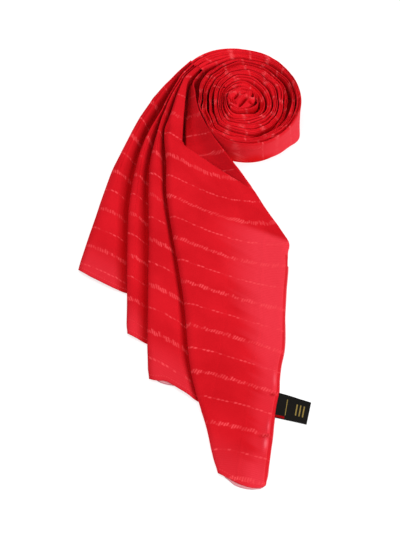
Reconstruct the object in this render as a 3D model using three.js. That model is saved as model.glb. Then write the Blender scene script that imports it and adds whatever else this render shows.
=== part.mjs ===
// Crepe hijab: one long cloth folded lengthwise into a narrow strip, wound on edge into a
// roll, with its free end opened as a fan of overlapping pleats on the ground.
// Millimetres, +Z up. The roll stands at the back, the fan runs towards -Y.
import * as THREE from 'three';

// Layout: the middle of the bounding box sits on the origin
const layoutShiftX = 7.4;
const layoutShiftY = -8.3;
const seamGap = 0.35;

// Roll
const rollCentreX = 42.6;
const rollCentreY = 186.5;
const stripHeight = 36;
const stationSpacing = 8;
const innermostTurned = 2745;
const coreRadius = 12.6;

// Outer face of the wound strip, in degrees turned clockwise from the back of the roll.
// looseGap is the air left between this stretch and the next turn inside it.
const spiralColumns = ['turned', 'outerRadius', 'looseGap'];
const spiralRows = [
  [-50, 70.5, 0.5], [-33, 68.7, 0.5], [-23, 67.4, 0.6], [-8, 64, 0.8], [13, 61.4, 0.9],
  [36, 60, 1.2], [60, 59.6, 1.4], [82, 61.7, 1.2], [100, 64.1, 1.5], [119, 64.4, 0.9],
  [139, 65.2, 0.5], [160, 65, 0.4], [180, 62.4, 0.4], [198, 59.6, 0.4], [214, 52.8, 0.5],
  [231, 48.3, 1], [270, 44.6, 1.6], [300, 46.4, 1.2], [330, 48.4, 1.4], [360, 51.2, 1],
  [405, 54.6, 0.8], [450, 57.3, 0.8], [500, 59.4, 0.5], [540, 57.6, 0.4], [585, 49.5, 0.5],
  [630, 40.2, 1], [675, 42.6, 0.8], [720, 46.3, 0.5], [810, 52, 0.4], [900, 51.6, 0.4],
  [990, 33.7, 1.4], [1080, 40.4, 0.5], [1170, 46.2, 0.6], [1260, 45.6, 0.4],
  [1350, 28.2, 0.5], [1440, 35.2, 0.4], [1530, 40, 0.6], [1620, 39.6, 0.4],
  [1710, 23.4, 0.4], [1800, 29.5, 0.5], [1890, 33.7, 1.2], [1980, 33, 0.4],
  [2070, 18.8, 0.5], [2160, 22.6, 0.4], [2250, 26, 1.4], [2340, 26, 0.5],
  [2430, 14.6, 0.4], [2520, 16.2, 0.4], [2610, 18.2, 0.4], [2700, 17.4, 0.4],
  [2790, 12.6, 0.4], [2900, 12.6, 0.4],
];

// Section of the wound strip: across runs from the inner face 0 to the outer face 1.
// Each crest or groove of the folded layers has its own height below the strip's top.
const stripSection = [
  { across: 0.04, drop: 36, ply: 0 }, { across: 0, drop: 33, ply: 0 },
  { across: 0, drop: 18, ply: 0 }, { across: 0, drop: 3.4, ply: 0 },
  { across: 0.05, drop: 1.3, ply: 0 }, { across: 0.13, drop: 0.6, ply: 1 },
  { across: 0.23, drop: 1.2, ply: 1 }, { across: 0.31, drop: 3.3, ply: 0 },
  { across: 0.4, drop: 0.8, ply: 2 }, { across: 0.49, drop: 0, ply: 2 },
  { across: 0.59, drop: 0.9, ply: 2 }, { across: 0.67, drop: 2.8, ply: 0 },
  { across: 0.76, drop: 0.8, ply: 3 }, { across: 0.86, drop: 0.2, ply: 3 },
  { across: 0.95, drop: 1, ply: 3 }, { across: 1, drop: 3, ply: 0 },
  { across: 1, drop: 18, ply: 0 }, { across: 1, drop: 33, ply: 0 },
  { across: 0.96, drop: 36, ply: 0 },
];

// Fan: each row is a line laid across the pleats from (lineX, lineY) at lineDegrees.
// foldN is how far along that line pleat N's left fold lies, crestN its height there.
const fanColumns = ['lineX', 'lineY', 'lineDegrees', 'fold1', 'fold2', 'fold3', 'fold4',
  'crest1', 'crest2', 'crest3', 'crest4', 'valley1', 'valley2', 'valley3'];
const fanRows = [
  [-12, 234.5, -41.3, 2.2, 6.2, 9.4, 12, 36, 35.4, 35.2, 36, 27, 27, 27],
  [-24.2, 220.4, -40, 0, 6.4, 8.9, 11.4, 34.4, 34.5, 34.8, 36, 23, 26, 27],
  [-31.6, 213, -38, 0, 9.2, 11.9, 14.6, 33, 32.7, 33.3, 34.8, 18.5, 24.5, 25],
  [-39, 205.6, -36.5, 0, 11.8, 14.5, 18.3, 31.5, 30.8, 31.8, 32.8, 15.5, 22, 22],
  [-45, 198.8, -35, 0, 13.8, 16.6, 22, 29.8, 29, 30.4, 31.2, 13, 20, 19],
  [-51, 191.9, -33.5, 0, 16.2, 19.2, 25.7, 28.2, 27, 28.6, 29.7, 11, 18, 16.5],
  [-54.7, 186.4, -33.7, 0.2, 17.3, 20.8, 27.6, 27, 25.3, 27, 28.6, 10, 16, 15],
  [-58.5, 180.5, -34, 0.2, 17.7, 22, 29.3, 25.7, 24, 25.4, 27.4, 9.2, 14, 13.5],
  [-62.3, 174.2, -34.5, 0.1, 17.7, 24.2, 31, 24.5, 22.6, 24.1, 26.2, 8.5, 12.4, 12],
  [-66, 167.8, -35, 0.2, 17.6, 26.3, 35, 23.4, 21.3, 22.9, 24.4, 8, 11, 11],
  [-72.5, 153.2, -33, 0, 17.3, 28.9, 43.7, 21.2, 18.6, 20.7, 21.4, 7, 9, 9.4],
  [-79, 138, -31, 0, 18.6, 32.5, 51.7, 19, 16, 18.2, 19, 6.2, 7.4, 8.2],
  [-85, 124, -29.5, 0.1, 21.5, 37.1, 57.9, 17.2, 14.2, 16.5, 17.8, 5.6, 6.4, 7.4],
  [-90.6, 110.2, -28, 0, 24.7, 42.8, 63.9, 15.6, 13, 15.2, 16.8, 5.2, 5.8, 6.8],
  [-96.5, 90, -28, 0.1, 28.4, 49.9, 74.1, 14, 11.8, 13.7, 15.5, 4.8, 5.2, 6.2],
  [-101.8, 70.5, -28, 0, 32.9, 56.4, 84.4, 12.4, 10.8, 12.5, 14.2, 4.4, 4.9, 5.8],
  [-107, 50.5, -28, 0.1, 38.7, 62.9, 95.1, 10.8, 9.9, 11.5, 13.4, 4.1, 4.6, 5.4],
  [-112.1, 30.5, -28, 0, 44.7, 69, 105.3, 9.2, 9, 10.6, 12.7, 3.9, 4.4, 5],
  [-116.5, 12, -28, 0, 50.1, 74.2, 113.9, 7.8, 8.3, 10, 12.1, 3.7, 4.2, 4.7],
  [-120.7, -5.3, -28, 0, 55.5, 79.1, 121, 6.2, 7.8, 9.4, 11.5, 3.5, 4, 4.5],
  [-126.8, -16.8, -28, 0, 63, 86.2, 129.2, 0, 7.2, 8.9, 11, 0, 3.8, 4.3],
  [-132.9, -28.3, -28, 0, 70.4, 93.3, 137.6, 0, 6.6, 8.5, 10.4, 0, 3.6, 4.1],
  [-139.3, -40.4, -28, 0, 78.3, 100.8, 146.7, 0, 5.8, 8.1, 9.8, 0, 3.4, 3.9],
  [-147, -54.7, -28, 0, 78.3, 110.8, 159.2, 0, 0, 7.2, 9, 0, 0, 3.7],
  [-154.7, -69.2, -28, 0, 78.3, 120.5, 174.5, 0, 0, 6.2, 8.2, 0, 0, 3.4],
  [-162.9, -84.8, -28, 0, 78.3, 120.5, 191.5, 0, 0, 0, 7, 0, 0, 0],
  [-171.4, -100.7, -28, 0, 78.3, 120.5, 206.4, 0, 0, 0, 5.8, 0, 0, 0],
  [-179.6, -116.1, -28, 0, 78.3, 120.5, 221.6, 0, 0, 0, 4.2, 0, 0, 0],
];
const rollExitLine = 0;
const diagonalLine = 9;
const hemLineOf = { 1: 19, 2: 22, 3: 24, 4: 27 };

// Narrow neck of the fourth pleat above the diagonal fold: its right edge and height
const neckColumns = ['edge', 'edgeHeight'];
const neckRows = [
  [16.4, 35.6], [16.9, 35], [21.7, 33.4], [28.9, 31.4], [34.7, 29.4], [40.3, 27.6],
  [44.2, 26.3], [48.5, 25], [53, 23.6], [57.4, 22.2],
];

// Inner flap between the neck and the roll, sloping up to its right crest
const flapColumns = ['foot', 'footHeight', 'crest', 'crestHeight'];
const flapRows = [
  [16.9, 26, 20.6, 35.6], [17.6, 20, 23.2, 35.8], [23.8, 15, 33.4, 35.6],
  [32.2, 12.5, 44, 35.2], [37.9, 10.8, 54.2, 34.2], [43.4, 9.6, 65.7, 32.4],
  [48, 8.6, 77.6, 29.6], [52.8, 7.8, 96, 24.8], [56.6, 7, 122, 17.6],
  [58.6, 6.4, 147.6, 10.4],
];

// Broad fourth pleat below the diagonal fold: right selvage and its height
const broadColumns = ['edge', 'edgeHeight', 'middleHeight', 'hemBow'];
const broadRows = [
  [149.9, 10.8, 15, 0], [167, 8.8, 12.6, 0], [185.9, 6.9, 10.8, 0], [199.9, 6, 9.8, 0],
  [201.6, 5.6, 9.2, 0], [207.1, 4.9, 8.6, 0], [210.6, 4.4, 8.2, 0], [214.7, 4, 7.8, 0],
  [219.4, 3.7, 7.4, 0], [223, 3.5, 7.1, 0], [223.6, 3.4, 6.9, 0], [228.5, 3.3, 6.7, 0],
  [234.2, 3.2, 6.5, 0], [238.1, 3.1, 6.2, 0], [243.7, 3, 5.8, 0], [249.8, 3, 5.3, 0.4],
  [255.3, 3, 4.8, 2.4], [262.7, 3, 4.3, 7], [264.4, 3, 3.8, 13],
];
const selvageLayerStart = 13;
const layerThickness = 1.1;
const layerLift = 1.5;
const layerTuck = 7;
const layerPeek = 1.6;
const lipStep = 0.05;
const leastNotch = 0.15;
const foldRoundShare = 0.08;
const foldRoundDrop = 0.9;

// Fold details
const groundSeat = 0.8;
const seatLift = 0.45;
const neckCrestAlong = 7;
const neckSag = 0.8;
const neckUndercut = 0.5;
const gapFloor = 5;
const creaseDepth = 0.35;
const valleyShare = 0.72;

// Woven label beside the selvage, corners walked clockwise
const labelCorners = [[75.8, -138.9], [104.8, -148.5], [99.5, -171], [71.8, -160.9]];
const labelBottom = 0;
const labelTop = 1.2;

const crepe = new THREE.MeshStandardMaterial({ color: 0xd81f2b, roughness: 0.85, metalness: 0 });
const satin = new THREE.MeshStandardMaterial({ color: 0x16110b, roughness: 0.5, metalness: 0 });
const part = new THREE.Group();
part.name = 'crepe_hijab';

function named(columns, rows) {
  return rows.map((row) => Object.fromEntries(columns.map((column, i) => [column, row[i]])));
}

const spiral = named(spiralColumns, spiralRows);
const fan = named(fanColumns, fanRows);
fan.forEach((line) => {
  ['valley1', 'valley2', 'valley3'].forEach((column) => {
    line[column] *= valleyShare;
  });
});
const neck = named(neckColumns, neckRows);
const flap = named(flapColumns, flapRows);
const broad = named(broadColumns, broadRows);

// Smooth value of one spiral column at an angle, by cubic segments through the rows
function spiralValue(column, turned) {
  let i = 0;
  while (i < spiral.length - 2 && spiral[i + 1].turned < turned) i += 1;
  const at = (k) => spiral[Math.min(Math.max(k, 0), spiral.length - 1)];
  const [before, from, to, after] = [at(i - 1), at(i), at(i + 1), at(i + 2)];
  const span = to.turned - from.turned;
  const slope = (a, b) => (b[column] - a[column]) / Math.max(b.turned - a.turned, 1) * span;
  const t = Math.min(Math.max((turned - from.turned) / span, 0), 1);
  const fromSlope = slope(before, to);
  const toSlope = slope(from, after);
  return (2 * t ** 3 - 3 * t ** 2 + 1) * from[column] + (t ** 3 - 2 * t ** 2 + t) * fromSlope
    + (3 * t ** 2 - 2 * t ** 3) * to[column] + (t ** 3 - t ** 2) * toSlope;
}

// Closed solid through a run of sections. Each section holds flat outline points and
// the same points placed in space, walked the same way round.
function loft(name, sections, material) {
  const count = sections[0].outline.length;
  const positions = sections.flatMap((section) => section.placed.flatMap((p) => p));
  const faces = [];
  for (let s = 0; s + 1 < sections.length; s += 1) {
    for (let i = 0; i < count; i += 1) {
      const next = (i + 1) % count;
      const a = s * count + i;
      const b = s * count + next;
      faces.push([a, b, b + count], [a, b + count, a + count]);
    }
  }
  const cap = (section) => THREE.ShapeUtils.triangulateShape(
    section.outline.map(([u, v]) => new THREE.Vector2(u, v)), []);
  const last = (sections.length - 1) * count;
  cap(sections[0]).forEach(([a, b, c]) => faces.push([a, b, c]));
  cap(sections[sections.length - 1]).forEach(([a, b, c]) => (
    faces.push([last + a, last + c, last + b])));
  addSolid(name, positions, orient(positions, faces), material);
}

// Faces turned outwards: their summed volume about the origin is made positive, with
// the end caps already wound to match the first side face
function orient(positions, faces) {
  const point = (i) => new THREE.Vector3().fromArray(positions, i * 3);
  let volume = 0;
  faces.forEach(([a, b, c]) => {
    volume += point(a).dot(point(b).cross(point(c)));
  });
  return volume > 0 ? faces : faces.map(([a, b, c]) => [a, c, b]);
}

function addSolid(name, positions, faces, material) {
  const geometry = new THREE.BufferGeometry();
  geometry.setAttribute('position', new THREE.Float32BufferAttribute(positions, 3));
  geometry.setIndex(faces.flat());
  geometry.translate(layoutShiftX, layoutShiftY, 0);
  geometry.computeVertexNormals();
  const mesh = new THREE.Mesh(geometry, material);
  mesh.name = name;
  part.add(mesh);
}

function rollPoint(turned, radius, z) {
  const azimuth = THREE.MathUtils.degToRad(90 - turned);
  return [rollCentreX + radius * Math.cos(azimuth), rollCentreY + radius * Math.sin(azimuth), z];
}

// Slow rise and fall of a ply's top along the strip, different for each ply and turn
function plyDrop(turned, ply) {
  const phase = ply * 2.1 + Math.floor(turned / 360) * 1.3;
  const angle = THREE.MathUtils.degToRad(turned);
  return ply === 0 ? 0 : 0.55 + 0.35 * Math.sin(2.3 * angle + phase)
    + 0.2 * Math.sin(5.1 * angle + 2 * phase);
}

// One turn of the strip as a standing wall between its own face and the next turn's
function windTurn(index, from, to) {
  const outer = (turned) => spiralValue('outerRadius', turned);
  const meanRadius = outer((from + to) / 2);
  const length = THREE.MathUtils.degToRad(to - from) * meanRadius;
  const steps = Math.max(Math.round(length / stationSpacing), 16);
  const sections = [];
  for (let s = 0; s <= steps; s += 1) {
    const turned = from + (to - from) * s / steps;
    const inner = Math.max(outer(turned + 360) + spiralValue('looseGap', turned), coreRadius);
    const thickness = outer(turned) - inner;
    const outline = stripSection.map(({ across, drop, ply }) => {
      const flare = index === 1 && across > 0.9 ? cornerFlare(turned, drop) : 0;
      const scaledDrop = drop < 3.4 ? drop * Math.min(thickness / 5, 1.3) : drop;
      const top = drop > 30 ? stripHeight - drop : stripHeight - scaledDrop - plyDrop(turned, ply);
      return [inner + across * thickness + flare, top];
    });
    sections.push({ outline, placed: outline.map(([r, z]) => rollPoint(turned, r, z)) });
  }
  loft(`roll_turn_${index}`, sections, crepe);
}

// The outermost turn spreads at its foot on the front right of the roll
function cornerFlare(turned, drop) {
  const spread = Math.exp(-(((turned - 118) / 17) ** 2));
  return 3.6 * spread * Math.max(drop - 12, 0) / 24;
}

const turnStarts = [-48.3, 311.7, 671.7, 1031.7, 1391.7, 1751.7, 2111.7, 2471.7, innermostTurned];
for (let turn = 0; turn + 1 < turnStarts.length; turn += 1) {
  const outerHere = spiralValue('outerRadius', turnStarts[turn + 1]);
  const endGapDegrees = THREE.MathUtils.radToDeg(seamGap / (outerHere - 3));
  windTurn(turn + 1, turnStarts[turn], turnStarts[turn + 1] - endGapDegrees);
}

// Crumpled inner end of the strip at the middle of the roll
function windCore() {
  const around = 36;
  const rings = [1, 0.82, 0.62, 0.42, 0.22];
  const positions = [];
  const faces = [];
  const point = (share, i, z) => {
    const angle = i / around * Math.PI * 2;
    const flute = 1 - 0.04 * (1 + Math.sin(7 * angle + 1));
    const radius = (coreRadius - seamGap) * share * flute;
    positions.push(...rollPoint(i / around * 360, radius, z));
  };
  const crumple = (share, i) => {
    const angle = i / around * Math.PI * 2;
    return 33.2 + 1.3 * Math.sin(9 * share + angle * 2) + 0.9 * Math.sin(14 * share - angle * 3);
  };
  for (let i = 0; i < around; i += 1) point(1, i, 0);
  rings.forEach((share) => {
    for (let i = 0; i < around; i += 1) point(share, i, crumple(share, i) - (share === 1 ? 1.6 : 0));
  });
  const floorMiddle = positions.length / 3;
  positions.push(rollCentreX, rollCentreY, 0, rollCentreX, rollCentreY, 33.4);
  for (let i = 0; i < around; i += 1) {
    const next = (i + 1) % around;
    faces.push([floorMiddle, i, next]);
    for (let ring = 0; ring < rings.length; ring += 1) {
      const low = ring * around;
      faces.push([low + i, low + around + i, low + around + next]);
      faces.push([low + i, low + around + next, low + next]);
    }
    const top = rings.length * around;
    faces.push([floorMiddle + 1, top + next, top + i]);
  }
  addSolid('roll_core', positions, orient(positions, faces), crepe);
}
windCore();

// A point on a fan line: along it, bowed back from the hem, and up
function fanPoint(line, along, z, bow) {
  const angle = THREE.MathUtils.degToRad(line.lineDegrees);
  const x = line.lineX + along * Math.cos(angle) - bow * Math.sin(angle);
  const y = line.lineY + along * Math.sin(angle) + bow * Math.cos(angle);
  return [x, y, z];
}

// Left side of a pleat, bottom to crest: upright foot tucked under the fold, the fold's
// round tip, then the rise to the crest
function pleatSide(foot, fold, seat, crest, crestAlong) {
  const rise = crest - seat;
  return [
    [foot, 0],
    [foot, seat],
    [fold + 0.3, seat + 0.3 * rise],
    [fold, seat + 0.5 * rise],
    [fold + 0.22 * crestAlong, seat + 0.76 * rise],
    [fold + 0.55 * crestAlong, seat + 0.94 * rise],
    [fold + crestAlong, crest],
  ];
}

// Slope of a pleat: nearly level as far as its knee, then down into the valley
const levelShares = [0.5, 1];
const fallShares = [0.25, 0.5, 0.75, 1];
const kneeBack = 13;
const kneeLeast = 0.45;
const kneeDrop = 0.12;

// How far a pleat's foot hides behind its fold, less where the pleats stand close
function tuckOf(line, index) {
  const from = Math.min(index, 3);
  return Math.min(0.22 * (line[`fold${from + 1}`] - line[`fold${from}`]), 1.7);
}

// The lower layer of a hem: the last section pressed flat and drawn past the hem
function addHemLip(sections, line, outline, bowAt) {
  const tallest = Math.max(...outline.map(([, z]) => z));
  const pressed = outline.map(([c, z]) => [c, z * layerThickness / tallest]);
  [-lipStep, -layerPeek].forEach((past) => {
    const placed = pressed.map(([c, z]) => fanPoint(line, c, z, bowAt(c) + past));
    sections.push({ outline: pressed, placed });
  });
}

// Pleats one to three: crest near the fold, then down into the valley under the next
function layPleat(index) {
  const sections = [];
  for (let row = rollExitLine; row <= hemLineOf[index]; row += 1) {
    const line = fan[row];
    const fold = line[`fold${index}`];
    const crest = line[`crest${index}`];
    const valley = line[`valley${index}`];
    const seat = index === 1 ? groundSeat : line[`valley${index - 1}`] + seatLift;
    const crestAlong = Math.max(0.28 * (line[`fold${index + 1}`] - fold), 1);
    const from = fold + crestAlong;
    const end = line[`fold${index + 1}`] + tuckOf(line, index + 1) - seamGap;
    const outline = pleatSide(fold + tuckOf(line, index), fold, seat, crest, crestAlong);
    const nextFold = line[`fold${index + 1}`];
    const knee = Math.max(nextFold - kneeBack, fold + kneeLeast * (nextFold - fold));
    const bottom = nextFold - Math.min(1.5, 0.1 * (nextFold - fold));
    levelShares.forEach((share) => {
      outline.push([from + (knee - from) * share, crest - (crest - valley) * kneeDrop * share ** 2]);
    });
    fallShares.forEach((share) => {
      const fall = (1 - kneeDrop) * (0.5 + 0.5 * Math.cos(Math.PI * share));
      outline.push([knee + (bottom - knee) * share, valley + (crest - valley) * fall]);
    });
    outline.push([end, valley - 0.05], [end, 0]);
    sections.push({ outline, placed: outline.map(([c, z]) => fanPoint(line, c, z, 0)) });
    if (row === hemLineOf[index]) addHemLip(sections, line, outline, () => 0);
  }
  loft(`fan_pleat_${index}`, sections, crepe);
}

// The neck of pleat four, from the roll to the diagonal fold
function layNeck() {
  const sections = neck.map(({ edge, edgeHeight }, row) => {
    const line = fan[row];
    const crestAlong = Math.min(0.3 * (edge - line.fold4), neckCrestAlong);
    const from = line.fold4 + crestAlong;
    const seat = line.valley3 + seatLift;
    const foot = line.fold4 + tuckOf(line, 4);
    const outline = pleatSide(foot, line.fold4, seat, line.crest4, crestAlong);
    [0.35, 0.7, 0.92].forEach((share) => {
      const sag = neckSag * Math.sin(Math.PI * share);
      outline.push([from + (edge - from) * share,
        line.crest4 + (edgeHeight - line.crest4) * share - sag]);
    });
    outline.push([edge, edgeHeight - 1.4], [edge - 0.3, edgeHeight - 4], [edge - neckUndercut, 0]);
    const bow = row === diagonalLine ? seamGap : 0;
    return { outline, placed: outline.map(([c, z]) => fanPoint(line, c, z, bow)) };
  });
  loft('fan_pleat_4_neck', sections, crepe);
}

// The flap between the neck and the roll: low along the neck, high along its crest
function layFlap() {
  const sections = flap.map(({ foot, footHeight, crest, crestHeight }, row) => {
    const line = fan[row];
    const start = neck[row].edge - neckUndercut + seamGap;
    const low = gapFloor + (footHeight - gapFloor) * (row === 0 ? 0.8 : 0.1);
    const outline = [[start, 0], [start, low], [foot - 0.05, low + 0.1]];
    outline.push([foot, footHeight - 1], [foot + 0.4, footHeight]);
    [0.2, 0.4, 0.6, 0.8, 0.93].forEach((share) => {
      const sag = 0.06 * (crest - foot) * Math.sin(Math.PI * share);
      outline.push([foot + 0.4 + (crest - foot - 0.4) * share,
        footHeight + (crestHeight - footHeight) * share - sag]);
    });
    outline.push([crest - 0.25, crestHeight - 0.5], [crest, crestHeight - 2]);
    outline.push([crest - 0.3, crestHeight * 0.5], [crest - 0.5, 0]);
    const bow = row === diagonalLine ? seamGap : 0;
    return { outline, placed: outline.map(([c, z]) => fanPoint(line, c, z, bow)) };
  });
  loft('fan_flap', sections, crepe);
}

// Depth of the notch under the selvage that the lower layer slides into
const notchAt = (row) => (row < selvageLayerStart ? leastNotch : layerLift);
const broadShares = [0.07, 0.15, 0.25, 0.37, 0.5, 0.63, 0.76, 0.88, 0.96];
const bowOf = (line, row, along) => {
  const { edge, hemBow } = broad[row - diagonalLine];
  return hemBow * Math.max((along - line.fold4) / (edge - line.fold4), 0) ** 6;
};

// The broad fourth pleat, from the diagonal fold down to its hem
function layBroad() {
  const sections = [];
  broad.forEach(({ edge, edgeHeight, middleHeight }, index) => {
    const row = index + diagonalLine;
    const line = fan[row];
    const crestAlong = Math.min(0.1 * (edge - line.fold4), neckCrestAlong);
    const from = line.fold4 + crestAlong;
    const seat = (row > hemLineOf[3] ? 0 : line.valley3) + seatLift;
    const foot = line.fold4 + tuckOf(line, 4);
    const outline = pleatSide(foot, line.fold4, seat, line.crest4, crestAlong);
    broadShares.forEach((share) => {
      const z = line.crest4 * (1 - share) * (1 - 2 * share)
        + middleHeight * 4 * share * (1 - share) + edgeHeight * share * (2 * share - 1);
      const wave = creaseDepth * Math.sin(2 * Math.PI * share * 3.2 + 0.4 * row);
      outline.push([from + (edge - from) * share, z + wave * Math.sin(Math.PI * share)]);
    });
    const notch = notchAt(row);
    outline.push([edge - 0.5, edgeHeight - 0.2], [edge, edgeHeight - 0.9]);
    outline.push([edge - 0.2, notch], [edge - layerTuck, notch + 0.05]);
    outline.push([edge - layerTuck - 0.6, 0]);
    const place = ([c, z]) => fanPoint(line, c, z, bowOf(line, row, c));
    sections.push({ outline, placed: outline.map(place) });
  });
  const [first, second] = sections;
  const blend = (a, b) => a.map((point, i) => (
    point.map((value, k) => value + (b[i][k] - value) * foldRoundShare)));
  const round = (points) => points.map((point) => (
    [...point.slice(0, -1), point.at(-1) > 3 ? point.at(-1) - foldRoundDrop : point.at(-1)]));
  sections.splice(0, 1,
    { outline: round(first.outline), placed: round(first.placed) },
    { outline: blend(first.outline, second.outline), placed: blend(first.placed, second.placed) });
  loft('fan_pleat_4', sections, crepe);
}

// The layer that shows past the selvage of pleat four, tucked into its notch
function layUnderLayer() {
  const sections = [];
  for (let row = selvageLayerStart + 1; row <= hemLineOf[4]; row += 1) {
    const line = fan[row];
    const { edge } = broad[row - diagonalLine];
    const outer = edge + layerPeek;
    const inner = edge - layerTuck + seamGap;
    const outline = [[inner, 0], [inner, layerThickness], [outer - 0.3, layerThickness],
      [outer, layerThickness / 2], [outer - 0.2, 0]];
    const place = ([c, z]) => fanPoint(line, c, z, bowOf(line, row, Math.min(c, edge)));
    sections.push({ outline, placed: outline.map(place) });
  }
  loft('under_layer', sections, crepe);
}

// Woven label: a thin folded band lying flat beside the selvage
function layLabel() {
  const ring = (z) => labelCorners.map(([x, y]) => [x, y, z]);
  const sections = [labelBottom, labelTop].map((z) => (
    { outline: labelCorners, placed: ring(z) }));
  loft('label', sections, satin);
}

[1, 2, 3].forEach(layPleat);
layNeck();
layFlap();
layBroad();
layUnderLayer();
layLabel();

export default part;
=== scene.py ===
import math
import bpy
import numpy as np
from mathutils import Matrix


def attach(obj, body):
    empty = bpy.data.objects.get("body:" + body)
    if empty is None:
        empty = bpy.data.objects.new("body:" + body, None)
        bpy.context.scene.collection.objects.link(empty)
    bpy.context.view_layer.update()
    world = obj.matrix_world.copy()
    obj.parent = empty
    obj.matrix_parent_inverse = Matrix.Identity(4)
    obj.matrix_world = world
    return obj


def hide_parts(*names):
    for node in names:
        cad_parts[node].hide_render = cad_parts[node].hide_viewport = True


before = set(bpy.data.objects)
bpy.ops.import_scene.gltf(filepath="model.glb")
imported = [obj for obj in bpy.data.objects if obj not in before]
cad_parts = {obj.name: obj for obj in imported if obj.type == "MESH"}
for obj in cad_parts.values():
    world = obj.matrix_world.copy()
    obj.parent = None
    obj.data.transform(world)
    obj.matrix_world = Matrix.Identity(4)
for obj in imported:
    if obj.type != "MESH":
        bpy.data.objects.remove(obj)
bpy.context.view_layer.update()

# All sizes below are in millimetres, in the layout of the CAD part, and are moved by
# layoutShift and turned to metres as a piece is made.
layoutShift = np.array([7.4, -8.3, 0.0])
clothThickness = 0.35
groundHeight = 0.35
rollCentre = np.array([42.6, 186.5])
stripePitch = 21.5


# Cubic from a to b that leaves a and reaches b with the two slopes given
def cubic(t, a, b, leave, reach):
    return ((2 * t**3 - 3 * t**2 + 1) * a + (t**3 - 2 * t**2 + t) * leave
            + (3 * t**2 - 2 * t**3) * b + (t**3 - t**2) * reach)


# Cubic through the rows of a table. Each column is bent so that its slope at a row is
# that of the line through the rows before and after it.
def smoothTable(at, rows, values):
    at, rows, values = (np.asarray(a, float) for a in (at, rows, values))
    slopes = np.gradient(values, rows)
    i = np.clip(np.searchsorted(rows, at, side="right") - 1, 0, len(rows) - 2)
    span = rows[i + 1] - rows[i]
    t = np.clip((at - rows[i]) / span, 0, 1)
    return cubic(t, values[i], values[i + 1], span * slopes[i], span * slopes[i + 1])


# Value noise on a line: random values at whole numbers, joined by smooth steps.
def lineNoise(x, seed):
    table = np.random.default_rng(seed).uniform(-1, 1, 512)
    cell = np.floor(x).astype(int)
    t = x - cell
    t = t * t * (3 - 2 * t)
    return table[cell % 512] * (1 - t) + table[(cell + 1) % 512] * t


def sheetNoise(x, y, seed):
    table = np.random.default_rng(seed).uniform(-1, 1, (256, 256))
    cx, cy = np.floor(x).astype(int), np.floor(y).astype(int)
    tx, ty = x - cx, y - cy
    tx, ty = tx * tx * (3 - 2 * tx), ty * ty * (3 - 2 * ty)
    cx, cy, dx, dy = cx % 256, cy % 256, (cx + 1) % 256, (cy + 1) % 256
    low = table[cx, cy] * (1 - tx) + table[dx, cy] * tx
    high = table[cx, dy] * (1 - tx) + table[dx, dy] * tx
    return low * (1 - ty) + high * ty


# Straight lines through a column of a table
def lookUp(x, table, column=1):
    return np.interp(x, table[:, 0], table[:, column])


def smoothStep(x, low, high):
    t = np.clip((x - low) / (high - low), 0, 1)
    return t * t * (3 - 2 * t)


# A run of corner points per row is rounded into a smooth line (cubic through them) and
# then resampled to evenly spaced points. Points are rows by corners by 2.
def roundSections(corners, count, evenness=1.0):
    rows, k, _ = corners.shape
    fine = 6 * (k - 1) + 1
    t = np.linspace(0, k - 1, fine)
    i = np.clip(t.astype(int), 0, k - 2)
    f = (t - i)[None, :, None]
    padded = np.concatenate([corners[:, :1], corners, corners[:, -1:]], axis=1)
    p0, p1, p2, p3 = (padded[:, i + j] for j in range(4))

    def slope(chord):
        half = np.maximum(np.linalg.norm(chord, axis=2) * 0.5, 1e-6)
        return chord * 0.5 * np.minimum(1.0, np.linalg.norm(p2 - p1, axis=2) / half)[..., None]

    line = cubic(f, p1, p2, slope(p2 - p0), slope(p3 - p1))
    steps = np.linalg.norm(np.diff(line, axis=1), axis=2)
    share = np.concatenate([np.zeros((rows, 1)), np.cumsum(steps, axis=1)], axis=1)
    share /= share[:, -1:]
    corner = np.linspace(0, 1, fine)[None, :]
    measure = share * evenness + corner * (1 - evenness)
    wanted = np.linspace(0, 1, count)
    out = np.empty((rows, count, 2))
    for row in range(rows):
        for axis in range(2):
            out[row, :, axis] = np.interp(wanted, measure[row], line[row, :, axis])
    return out


# Two values at each point, side by side
def pairUp(a, b):
    return np.stack(np.broadcast_arrays(a, b), -1)


# Sections rounded through corners, each a distance across and a height, as two arrays
def crossSections(corners, count, evenness):
    stacked = np.stack([pairUp(c, z) for c, z in corners], axis=1)
    return np.moveaxis(roundSections(stacked, count, evenness), -1, 0)


def sheetArea(points):
    a, b = points[1:, :-1] - points[:-1, :-1], points[:-1, 1:] - points[:-1, :-1]
    c, d = points[1:, :-1] - points[1:, 1:], points[:-1, 1:] - points[1:, 1:]
    return 0.5 * (np.linalg.norm(np.cross(a, b), axis=2).sum()
                  + np.linalg.norm(np.cross(c, d), axis=2).sum())


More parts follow.
